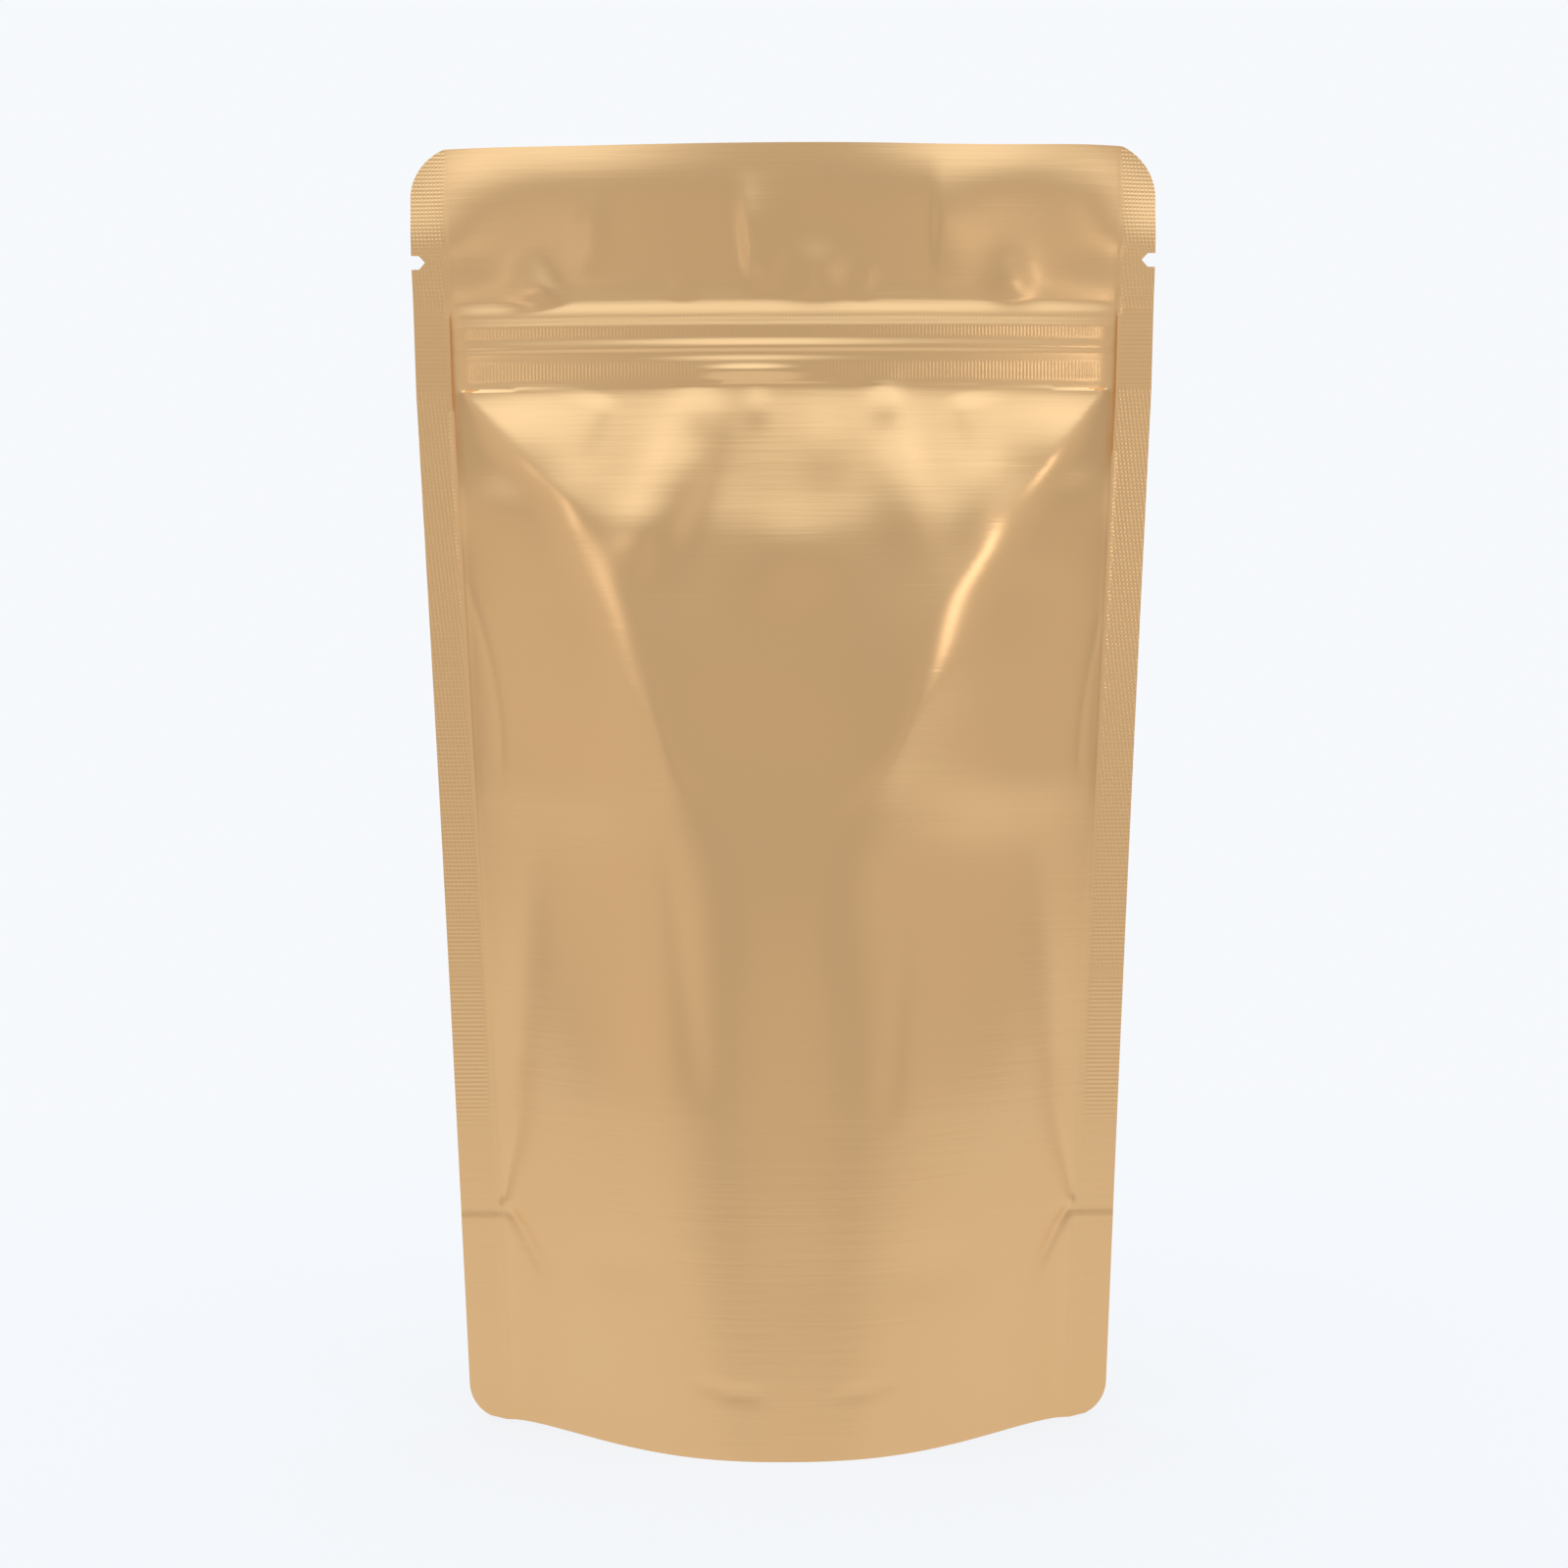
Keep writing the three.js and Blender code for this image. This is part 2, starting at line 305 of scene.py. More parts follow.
@dataclass(frozen=True)
class Swell:
    """How far the air inside pushes a panel out from the sheet between the two side seals."""

    outline: Outline
    cheeks: tuple[Cheek, Cheek]
    brow: Brow = Brow()
    zip_half_depth: float = 2.3
    chest: Range = (5.4, 0.19)
    belly: Range = (14.1, 0.09)
    chest_softness: float = 0.45
    belly_softness: float = 1.6
    cheek_share: Course = Course((56.0, 104.0, 118.0), (0.0, 0.72, 1.0))
    section_power: Range = (2.4, 2.7)
    section_end: Range = (1.6, 1.45)
    section_change: Range = (-10.0, 95.0)
    bow_depth: float = 3.4
    bow_foot: float = 100.0
    zip_arch: float = 1.0
    arch_range: Range = (150.0, 178.0)

    def inset(self, x: Array, z: Array) -> Array:
        """Give each point's distance in from the nearer seam."""
        return np.maximum(self.outline.inner_half_width(z) - np.abs(x), 0.0)

    def across(self, x: Array, z: Array) -> Array:
        """Give each point's place between the middle (0) and the seam (1)."""
        return np.clip(np.abs(x) / self.outline.inner_half_width(z), 0.0, 1.0)

    def below_zip(self, x: Array, z: Array) -> Array:
        """Give each point's distance below the zip's lower edge, which arches up in the middle."""
        arch = self.zip_arch * (1.0 - self.across(x, z) ** 2) * smoothstep(z, *self.arch_range)
        return self.outline.zip_bottom + arch - z

    def middle(self, below: Array) -> Array:
        """Give the half depth away from the cheeks, at a distance below the zip.

        Args:
            below: Distances below the zip.

        Returns:
            The half depth, which grows fast in the brow and then slowly.
        """
        below = np.maximum(below, 0.0)
        brow = self.zip_half_depth + self.brow.depth(below)
        chest = self.chest[0] + self.chest[1] * below
        belly = self.belly[0] + self.belly[1] * below
        return soft_min(soft_min(brow, chest, self.chest_softness), belly, self.belly_softness)

    def cheek_depth(self, x: Array, z: Array) -> Array:
        """Give the depth of the cheek on each point's side."""
        left, right = (cheek.depth(self.inset(x, z), z) for cheek in self.cheeks)
        return np.where(x < 0.0, left, right)

    def depth(self, x: Array, z: Array) -> Array:
        """Give the half depth below the zip: cheeks and ridges above, one round swell below.

        Args:
            x: Places across the pouch.
            z: Heights.

        Returns:
            The half depth at each place.
        """
        middle = self.middle(self.below_zip(x, z))
        left, right = (cheek.ridge_softness.at(z) for cheek in self.cheeks)
        softness = np.where(x < 0.0, left, right)
        pointed = soft_min(middle, self.cheek_depth(x, z), softness)
        share = smoothstep(z, *self.section_change)
        power = self.section_power[0] + (self.section_power[1] - self.section_power[0]) * share
        end = self.section_end[0] + (self.section_end[1] - self.section_end[0]) * share
        rounded = middle * (1.0 - self.across(x, z) ** power) ** end
        return rounded + (pointed - rounded) * self.cheek_share.at(z)

    def bow(self, x: Array, z: Array) -> Array:
        """Give how far the sheet between the seals bows to the front, which carries both panels with it."""
        kept = smoothstep(z, self.bow_foot, self.outline.zip_bottom)
        return self.bow_depth * (1.0 - self.across(x, z) ** 2) * kept


@dataclass(frozen=True)
class Step:
    """A step in the zip's face: the panel moves out by its rise going down past its height, over its run.

    With a fade the rise is lower away from its own place across the pouch.
    """

    height: float
    run: float
    rise: float
    fade: float = 0.0
    place: float = 0.0
    spread: float = 30.0

    def at(self, x: Array, z: Array) -> Array:
        """Give how far the step moves each point out.

        Args:
            x: Places across the pouch.
            z: Heights.

        Returns:
            The step's rise at each place, or 0 above it.
        """
        kept = 1.0 - self.fade * (1.0 - bell((x - self.place) / self.spread))
        above = smoothstep(z, self.height - self.run / 2, self.height + self.run / 2)
        return self.rise * kept * (1.0 - above)


@dataclass(frozen=True)
class Zip:
    """The press-to-close zip between the panels, which shows as a stepped band across each."""

    collar_half_depth: float = 0.3
    steps: tuple[Step, ...] = (
        Step(196.6, 6.0, 0.55),
        Step(194.2, 3.6, 0.75),
        Step(191.9, 1.8, 0.42),
        Step(192.6, 0.4, 0.05),
        Step(192.1, 0.4, -0.05),
        Step(188.4, 2.0, 0.58, 0.50, -6.0, 22.0),
        Step(187.0, 0.8, -0.26),
        Step(185.6, 1.6, 0.42, 0.75, -6.0, 16.0),
        Step(184.0, 1.6, 0.58, 0.95, -6.0, 8.0),
        Step(182.4, 2.6, -0.90, 0.9, -6.0, 9.0),
        Step(181.3, 1.6, 0.05, -3.0, -5.0, 28.0),
    )

    def depth(self, x: Array, z: Array) -> Array:
        """Give the half depth of a panel at the zip and in the collar above it."""
        return self.collar_half_depth + sum(step.at(x, z) for step in self.steps)


class Side(Enum):
    """Which way a panel faces along Y."""

    FRONT = -1
    BACK = 1


@dataclass(frozen=True)
class Form:
    """The outer surface of one panel of the pouch, from its seals to its folds."""

    side: Side
    outline: Outline
    swell: Swell
    zip: Zip
    shared: Folds
    folds: Folds
    collar: Range = (193.0, 199.0)
    band_end: float = 0.9
    band_taper: float = 6.0
    taper_share: float = 0.4
    film: float = 0.15
    fold_blend: float = 0.3
    seam_blend: float = 2.5
    seam_fade: float = 1.6
    welt: Range = (0.45, 0.3)
    welt_lift: float = 0.1

    def fin(self, inset: Array, z: Array) -> Array:
        """Give the panel's thickness. In the side seals at the foot the gusset lies between the panels.

        Args:
            inset: Distances in from the seam.
            z: Heights.

        Returns:
            The thickness at each place.
        """
        fold = self.outline.gusset_fold
        doubled = 1.0 - smoothstep(z, fold - self.fold_blend, fold + self.fold_blend)
        return self.film * (1.0 + doubled * (1.0 - smoothstep(inset, 0.0, self.seam_blend)))

    def depth(self, x: Array, z: Array) -> Array:
        """Give the distance of the panel's outer face from the sheet through the side seals.

        Args:
            x: Places across the pouch.
            z: Heights.

        Returns:
            The depth at each place.
        """
        inset = self.swell.inset(x, z)
        body = self.swell.depth(x, z)
        steep = (1.0 - self.taper_share) * np.exp(-inset / self.band_end)
        tapered = self.taper_share * np.exp(-inset / self.band_taper)
        band = self.zip.depth(x, z) * (1.0 - steep - tapered)
        core = np.where(self.swell.below_zip(x, z) > 0.0, body, band)
        kept = smoothstep(inset, 0.0, self.seam_fade)
        folds = sum(fold.at(x, z) for fold in self.folds) * kept
        shared = sum(fold.at(x, z) for fold in self.shared) * smoothstep(z, *self.collar)
        bow = (self.swell.bow(x, z) + shared) * -self.side.value
        welt = self.welt_lift * bell((inset - self.welt[0]) / self.welt[1])
        return self.fin(inset, z) + core + folds + bow + welt


# -------------------- the folds


def collar_folds() -> Folds:
    """List the folds of the collar above the zip, where the two panels bend as one sheet.

    Returns:
        The folds, from the rolled top edge down to the small folds that rise from the zip.
    """
    return (
        Dent(0.0, 227.6, 45.0, 7.6, -0.8),
        Dent(-41.0, 227.6, 25.0, 7.6, -2.7),
        Dent(35.0, 227.6, 18.0, 7.4, -2.7),
        Dent(-64.0, 223.0, 12.0, 14.0, -2.1),
        Dent(66.0, 223.0, 10.5, 14.0, -3.1),
        Dent(-54.0, 214.0, 8.0, 6.5, 0.6),
        Dent(54.5, 214.5, 8.0, 6.5, 0.9),
        Dent(-60.0, 205.5, 12.0, 7.0, 1.3),
        Dent(60.0, 205.5, 12.0, 7.0, 1.5),
        Crease((-44.0, 206.0), (-41.5, 194.0), 1.5, (3.5, 6.0), 0.0, (0.9, 0.1), 2.0, 0.5),
        Dent(39.6, 198.5, 3.4, 5.0, 1.0),
        Dent(5.6, 200.5, 4.8, 5.0, 1.05),
        Crease((-33.5, 216.0), (-33.0, 198.0), 0.4, (2.5, 2.5), 0.0, (0.4, 0.4)),
        Crease((-7.0, 219.0), (-5.0, 195.5), 1.4, (1.3, 1.0), 0.0, (0.5, 0.4), 1.3, 4.5),
        Crease((27.4, 222.0), (26.8, 195.5), 0.8, (1.0, 0.7), 0.0, (0.5, 0.5), 2.0, 8.0),
        Crease((15.5, 204.0), (13.0, 195.0), 0.3, (1.6, 1.6), 0.0, (0.5, 0.2), 1.7),
        Crease((-17.0, 203.0), (-17.5, 195.0), 0.25, (2.0, 2.0), 0.0, (0.5, 0.2), 1.7),
    )


def front_brow() -> Folds:
    """List the slack folds of the front panel that hang from the zip.

    Returns:
        The folds, from the -X side to the +X side, and then the two broad swellings of the chest.
    """
    return (
        Dent(-44.0, 171.0, 11.0, 7.5, 1.1),
        Dent(-36.5, 161.0, 6.5, 8.0, 1.1),
        Crease((-31.0, 179.6), (-34.5, 167.0), 0.4, (4.5, 4.5), 0.0, (0.25, 0.8), 1.5, 0.4),
        Dent(-19.5, 164.5, 5.5, 10.5, 1.5, -18.0),
        Dent(-24.0, 155.0, 6.0, 6.0, 0.8),
        Dent(-14.8, 176.5, 4.0, 4.0, 0.5),
        Crease((-6.8, 180.0), (-18.0, 132.0), -0.65, (1.6, 7.5), 0.0, (0.35, 0.6), 2.0, 1.3),
        Dent(-4.6, 177.0, 2.2, 3.2, 0.35),
        Dent(7.0, 170.0, 4.5, 6.0, 0.35),
        Dent(1.5, 151.5, 9.0, 6.5, 0.8),
        Dent(19.8, 164.0, 5.0, 11.0, 1.4, 10.0),
        Dent(17.6, 177.5, 2.6, 3.5, 0.6),
        Crease((30.6, 179.6), (32.5, 167.0), 0.5, (1.6, 2.0), 0.0, (0.25, 0.8), 1.5, 3.0),
        Dent(33.5, 163.5, 5.5, 8.5, 1.0),
        Dent(47.0, 171.0, 9.0, 6.5, 0.9),
        Dent(26.0, 134.0, 14.0, 24.0, 2.5),
        Dent(-27.0, 136.0, 10.0, 20.0, 1.0),
    )


def back_brow() -> Folds:
    """List the slack folds of the back panel that hang from the zip.

    Returns:
        The folds, from the +X side to the -X side, and then the two broad swellings of the chest.
    """
    return (
        Dent(42.0, 171.0, 11.0, 7.5, 1.1),
        Dent(33.0, 163.0, 7.0, 8.0, 1.0),
        Crease((27.0, 179.6), (30.0, 168.0), 0.5, (3.5, 3.5), 0.0, (0.25, 0.8), 1.5),
        Dent(15.0, 163.0, 5.5, 10.5, 1.4, 14.0),
        Crease((3.0, 180.0), (11.0, 146.0), -1.0, (1.4, 6.0), 0.0, (0.35, 0.6)),
        Dent(-7.0, 155.0, 8.0, 6.0, 0.7),
        Dent(-24.0, 165.0, 5.0, 10.0, 1.3, -10.0),
        Crease((-34.0, 179.6), (-35.0, 168.0), 0.7, (2.0, 2.6), 0.0, (0.25, 0.8), 1.5),
        Dent(-44.0, 170.0, 9.0, 7.0, 1.0),
        Dent(24.0, 134.0, 12.0, 22.0, 1.4),
        Dent(-25.0, 134.0, 12.0, 22.0, 1.4),
    )


def body_folds() -> Folds:
    """List the folds that both panels have below the brow.

    Returns:
        The folds, from the cheeks down to the pinches and creases of the foot.
    """
    cheeks = (
        Dent(-52.0, 159.5, 6.0, 4.5, -0.4),
        Dent(52.0, 162.0, 6.0, 4.5, -0.4),
        Dent(-46.0, 141.0, 9.0, 7.0, -0.4),
        Dent(46.0, 144.0, 9.0, 7.0, -0.4),
        Dent(-35.0, 112.0, 13.0, 8.0, 0.8),
        Dent(36.0, 113.0, 13.0, 8.0, 1.3),
        Crease((-56.8, 150.0), (-49.4, 111.0), -0.22, (0.5, 0.8), 2.3, (0.2, 0.2), 1.4),
        Crease((57.0, 146.0), (51.0, 111.0), -0.22, (0.5, 0.8), -1.5, (0.2, 0.2), 1.4),
    )
    belly = (
        Crease((-20.5, 107.0), (-14.5, 56.0), -0.3, (2.0, 3.0), 0.0, (0.3, 0.2)),
        Crease((20.4, 92.0), (16.8, 53.0), -0.3, (1.8, 2.6), 0.0, (0.3, 0.2)),
        Crease((-43.5, 116.0), (-47.5, 44.0), -0.8, (4.5, 2.2), 0.0, (0.65, 0.3)),
        Crease((44.0, 116.0), (47.5, 44.0), -0.8, (4.5, 2.2), 0.0, (0.65, 0.3)),
    )
    foot = (
        Crease((-50.2, 38.0), (-44.8, 62.0), -0.5, (0.7, 2.6), 0.0, (0.06, 0.85), 1.4),
        Crease((50.6, 38.0), (45.4, 62.0), -0.5, (0.7, 2.6), 0.0, (0.06, 0.85), 1.4),
        Crease((-49.8, 38.4), (-41.0, 23.0), -0.6, (0.7, 1.2), 0.7, (0.15, 0.5), 1.4, 1.6),
        Crease((50.4, 38.4), (42.3, 23.0), -0.6, (1.1, 1.9), -0.7, (0.15, 0.5), 1.4, 0.6),
        Crease((-18.0, 13.6), (-2.0, 10.6), -0.2, (0.8, 0.8), -0.8, (0.25, 0.3), 1.4),
        Crease((7.0, 10.6), (20.0, 13.4), -0.16, (0.8, 0.8), -0.8, (0.25, 0.3), 1.4),
        Crease((-49.3, 21.0), (-49.4, 14.5), -0.2, (0.3, 0.3), 0.5, (0.2, 0.2)),
        Crease((49.6, 22.5), (49.6, 15.0), -0.2, (0.3, 0.3), -0.5, (0.2, 0.2)),
        Dent(2.0, 30.0, 8.0, 9.0, -0.15),
        Dent(25.0, 30.0, 8.0, 5.0, -0.3),
        Dent(-29.0, 31.0, 6.0, 4.0, -0.25),
    )
    return cheeks + belly + foot


# -------------------- the film's finish


class Relief(Enum):
    """Fine patterns pressed into the film. Each value names the mesh attribute that says where it is."""

    MESH = "seal_mesh"
    RIBS = "seal_ribs"
    KNURL = "zip_knurl"


@dataclass(frozen=True)
class FoilFilm:
    """Satin gold foil laminate, brushed across the pouch, with the sealing jaws' patterns in it."""

    name: str = "gold foil film"
    base: Colour = (0.82, 0.527, 0.262)
    base_warm: Colour = (0.83, 0.52, 0.25)
    roughness: float = 0.3
    roughness_drift: float = 0.03
    pressed_depth: float = 0.05
    grain_depth: float = 0.035
    mesh_slant: float = 0.12
    mesh_pitch: Range = (0.66, 0.70)
    rib_pitch: float = 0.75
    knurl_pitch: float = 0.61

    def material(self) -> bpy.types.Material:
        """Build the film's material.

        Returns:
            The material, whose patterns follow the object's own coordinates.
        """
        material = bpy.data.materials.new(self.name)
        material.use_nodes = True
        nodes, links = material.node_tree.nodes, material.node_tree.links
        shader = nodes["Principled BSDF"]
        shader.inputs["Metallic"].default_value = 1.0
        grain = nodes.new("ShaderNodeGroup")
        grain.node_tree = brushed_grain_group()
        links.new(grain.outputs["Height"], self._bump(nodes, links, shader).inputs["Height"])
        mix = nodes.new("ShaderNodeMix")
        mix.data_type = "RGBA"
        mix.inputs["A"].default_value = (*self.base, 1.0)
        mix.inputs["B"].default_value = (*self.base_warm, 1.0)
        links.new(grain.outputs["Drift"], mix.inputs["Factor"])
        links.new(mix.outputs["Result"], shader.inputs["Base Color"])
        rough = nodes.new("ShaderNodeMapRange")
        rough.inputs["To Min"].default_value = self.roughness - self.roughness_drift
        rough.inputs["To Max"].default_value = self.roughness + self.roughness_drift
        links.new(grain.outputs["Drift"], rough.inputs["Value"])
        links.new(rough.outputs["Result"], shader.inputs["Roughness"])
        return material

    def _bump(
        self, nodes: bpy.types.Nodes, links: bpy.types.NodeLinks, shader: bpy.types.Node
    ) -> bpy.types.Node:
        """Chain the bump of the pressed patterns and that of the grain into the shader.

        Args:
            nodes: The material's nodes.
            links: The material's links.
            shader: The shader that gets the normals.

        Returns:
            The grain's bump node, whose height is still free.
        """
        pressed = nodes.new("ShaderNodeGroup")
        pressed.node_tree = pressed_pattern_group(self)
        for relief in Relief:
            where = nodes.new("ShaderNodeAttribute")
            where.attribute_name = relief.value
            links.new(where.outputs["Fac"], pressed.inputs[relief.name.title()])
        coarse = nodes.new("ShaderNodeBump")
        coarse.inputs["Distance"].default_value = self.pressed_depth * MM
        links.new(pressed.outputs["Height"], coarse.inputs["Height"])
        fine = nodes.new("ShaderNodeBump")
        fine.inputs["Distance"].default_value = self.grain_depth * MM
        links.new(coarse.outputs["Normal"], fine.inputs["Normal"])
        links.new(fine.outputs["Normal"], shader.inputs["Normal"])
        return fine


def new_group(
    name: str, inputs: list[str], outputs: list[str]
) -> tuple[bpy.types.NodeTree, Sockets, Sockets]:
    """Start a shader node group whose sockets are all plain numbers.

    Args:
        name: The group's name.
        inputs: Names of its inputs.
        outputs: Names of its outputs.

    Returns:
        The group, and its input and output sockets by name.
    """
    group = bpy.data.node_groups.new(name, "ShaderNodeTree")
    for label in inputs:
        group.interface.new_socket(label, in_out="INPUT", socket_type="NodeSocketFloat")
    for label in outputs:
        group.interface.new_socket(label, in_out="OUTPUT", socket_type="NodeSocketFloat")
    into = group.nodes.new("NodeGroupInput")
    out = group.nodes.new("NodeGroupOutput")
    return group, {s.name: s for s in into.outputs}, {s.name: s for s in out.inputs}


def maths(group: bpy.types.NodeTree, operation: str, *values: Input) -> bpy.types.NodeSocket:
    """Add a Math node to a group.

    Args:
        group: The group.
        operation: The node's operation.
        values: A socket or a number for each of its inputs.

    Returns:
        The node's result.
    """
    node = group.nodes.new("ShaderNodeMath")
    node.operation = operation
    for socket, value in zip(node.inputs, values):
        if isinstance(value, (int, float)):
            socket.default_value = value
        else:
            group.links.new(value, socket)
    return node.outputs["Value"]


def millimetres(group: bpy.types.NodeTree) -> Sockets:
    """Give the object's own coordinates in millimetres.

    Args:
        group: The group that reads them.

    Returns:
        The sockets X, Y and Z.
    """
    place = group.nodes.new("ShaderNodeTexCoord")
    scale = group.nodes.new("ShaderNodeVectorMath")
    scale.operation = "SCALE"
    scale.inputs["Scale"].default_value = 1.0 / MM
    parts = group.nodes.new("ShaderNodeSeparateXYZ")
    group.links.new(place.outputs["Object"], scale.inputs[0])
    group.links.new(scale.outputs["Vector"], parts.inputs["Vector"])
    return {s.name: s for s in parts.outputs}


@dataclass(frozen=True)
class Streaks:
    """One layer of the brushed grain: how fine it is per metre, how far it is drawn out, and its share."""

    scale: float
    stretch: float
    share: float


GRAIN_LAYERS = (Streaks(800.0, 0.04, 0.6), Streaks(2200.0, 0.03, 0.4))
GRAIN_DETAIL = 2.0
DRIFT_SCALE = 28.0
DRIFT_DETAIL = 1.0


def brushed_grain_group() -> bpy.types.NodeTree:
    """Build the film's brushed grain: fine streaks across the pouch, and a slow drift of its tone.

    Returns:
        The node group, with the outputs Height and Drift.
    """
    group, _, out = new_group("brushed grain", [], ["Height", "Drift"])
    place = group.nodes.new("ShaderNodeTexCoord")
    height = None
    for layer in GRAIN_LAYERS:
        mapping = group.nodes.new("ShaderNodeMapping")
        drawn_out = layer.scale * layer.stretch
        mapping.inputs["Scale"].default_value = (drawn_out, drawn_out, layer.scale)
        noise = group.nodes.new("ShaderNodeTexNoise")
        noise.inputs["Scale"].default_value = 1.0
        noise.inputs["Detail"].default_value = GRAIN_DETAIL
        group.links.new(place.outputs["Object"], mapping.inputs["Vector"])
        group.links.new(mapping.outputs["Vector"], noise.inputs["Vector"])
        part = maths(group, "MULTIPLY", noise.outputs["Fac"], layer.share)
        height = part if height is None else maths(group, "ADD", height, part)
    drift = group.nodes.new("ShaderNodeTexNoise")
    drift.inputs["Scale"].default_value = DRIFT_SCALE
    drift.inputs["Detail"].default_value = DRIFT_DETAIL
    group.links.new(place.outputs["Object"], drift.inputs["Vector"])
    group.links.new(height, out["Height"])
    group.links.new(drift.outputs["Fac"], out["Drift"])
    return group


def pressed_pattern_group(film: FoilFilm) -> bpy.types.NodeTree:
    """Build the patterns that the sealing jaws press: a mesh of dots, level ribs, and the zip's ticks.

    Args:
        film: The film, which says how fine the patterns are.

    Returns:
        The node group, with an input for each pattern's strength and the output Height.
    """
    strengths = [relief.name.title() for relief in Relief]
    group, into, out = new_group("pressed patterns", strengths, ["Height"])
    place = millimetres(group)
    half = 0.5

    def wave(value: bpy.types.NodeSocket, pitch: float, middle: float = 0.0) -> bpy.types.NodeSocket:
        """Give a wave of height 1 about its middle, along a coordinate."""
        turned = maths(group, "MULTIPLY", value, 2.0 * math.pi / pitch)
        return maths(group, "MULTIPLY_ADD", maths(group, "SINE", turned), half, middle)

    shear = maths(group, "MULTIPLY_ADD", place["Z"], film.mesh_slant, place["X"])
    across, up = wave(shear, film.mesh_pitch[0], half), wave(place["Z"], film.mesh_pitch[1], half)
    dots = maths(group, "MULTIPLY_ADD", across, up, -half * half)
    ribs = wave(place["Z"], film.rib_pitch)
    ticks = wave(place["X"], film.knurl_pitch)
    height = maths(group, "MULTIPLY", dots, into["Mesh"])
    height = maths(group, "MULTIPLY_ADD", ribs, into["Ribs"], height)
    height = maths(group, "MULTIPLY_ADD", ticks, into["Knurl"], height)
    group.links.new(height, out["Height"])
    return group


# -------------------- the pieces


def set_attribute(mesh: bpy.types.Mesh, relief: Relief, values: Array) -> None:
    """Store on each point of a mesh how strongly a pressed pattern shows there."""
    layer = mesh.attributes.new(relief.value, "FLOAT", "POINT")
    layer.data.foreach_set("value", np.ascontiguousarray(values, dtype=np.float32))


def flat_sheet(name: str, columns: int, rows: int) -> tuple[bpy.types.Object, Array, Array]:
    """Add a flat sheet of film as a grid.

    Args:
        name: The new piece's name.
        columns: How many cells the sheet has across.
        rows: How many cells it has up.

    Returns:
        The piece, and each point's place across and up the sheet, from 0 to 1.
    """
    deselect_all()
    bpy.ops.mesh.primitive_grid_add(x_subdivisions=columns, y_subdivisions=rows, size=1.0)
    piece = bpy.context.active_object
    piece.name = name
    piece.data.name = name
    places = np.empty(len(piece.data.vertices) * 3, np.float32)
    piece.data.vertices.foreach_get("co", places)
    places = places.reshape(-1, 3).astype(float)
    return piece, places[:, 0] + 0.5, places[:, 1] + 0.5


def place_points(piece: bpy.types.Object, x: Array, y: Array, z: Array) -> None:
    """Move a sheet's points.

    Args:
        piece: The sheet.
        x: The points' new places across, in millimetres.
        y: Their places from front to back.
        z: Their heights.
    """
    places = np.column_stack((x, y, z)) * MM
    piece.data.vertices.foreach_set("co", places.astype(np.float32).ravel())
    piece.data.update()


def give_thickness(piece: bpy.types.Object, film: float) -> None:
    """Thicken a sheet inwards, and smooth all but its cut edges.

    Args:
        piece: The sheet.
        film: The film's thickness in millimetres.
    """
    deselect_all()
    piece.select_set(True)
    bpy.context.view_layer.objects.active = piece
    wall = piece.modifiers.new("film", "SOLIDIFY")
    wall.thickness = film * MM
    wall.offset = -1.0
    bpy.ops.object.modifier_apply(modifier=wall.name)
    bpy.ops.object.shade_smooth_by_angle(angle=math.radians(SMOOTH_ANGLE))


@dataclass
class FilmPiece:
    """A sheet of film, shaped into one piece of the pouch."""

    name: str
    piece: bpy.types.Object = field(init=False, default=None)

    def dress(self, material: bpy.types.Material) -> None:
        """Give the piece its finish and its place in the frame.

        Args:
            material: The film's material.
        """
        self.piece.data.materials.append(material)
        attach(self.piece, "root")
        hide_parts("pouch")


@dataclass(frozen=True)
class Stretch:
    """A run of a panel's rows, from one height to another."""

    low: float
    high: float
    rows: int

    def heights(self) -> Array:
        """Give the heights of the rows, without the last."""
        return np.linspace(self.low, self.high, self.rows, endpoint=False)


@dataclass(frozen=True)
class Zone:
    """A level zone of a panel, from a low height to a high one, each with a soft edge above it."""

    low: float
    high: float
    blend: float

    def at(self, z: Array) -> Array:
        """Give how far each height lies in the zone, from 0 to 1."""
        ended = smoothstep(z, self.high, self.high + self.blend)
        return smoothstep(z, self.low, self.low + self.blend) * (1.0 - ended)


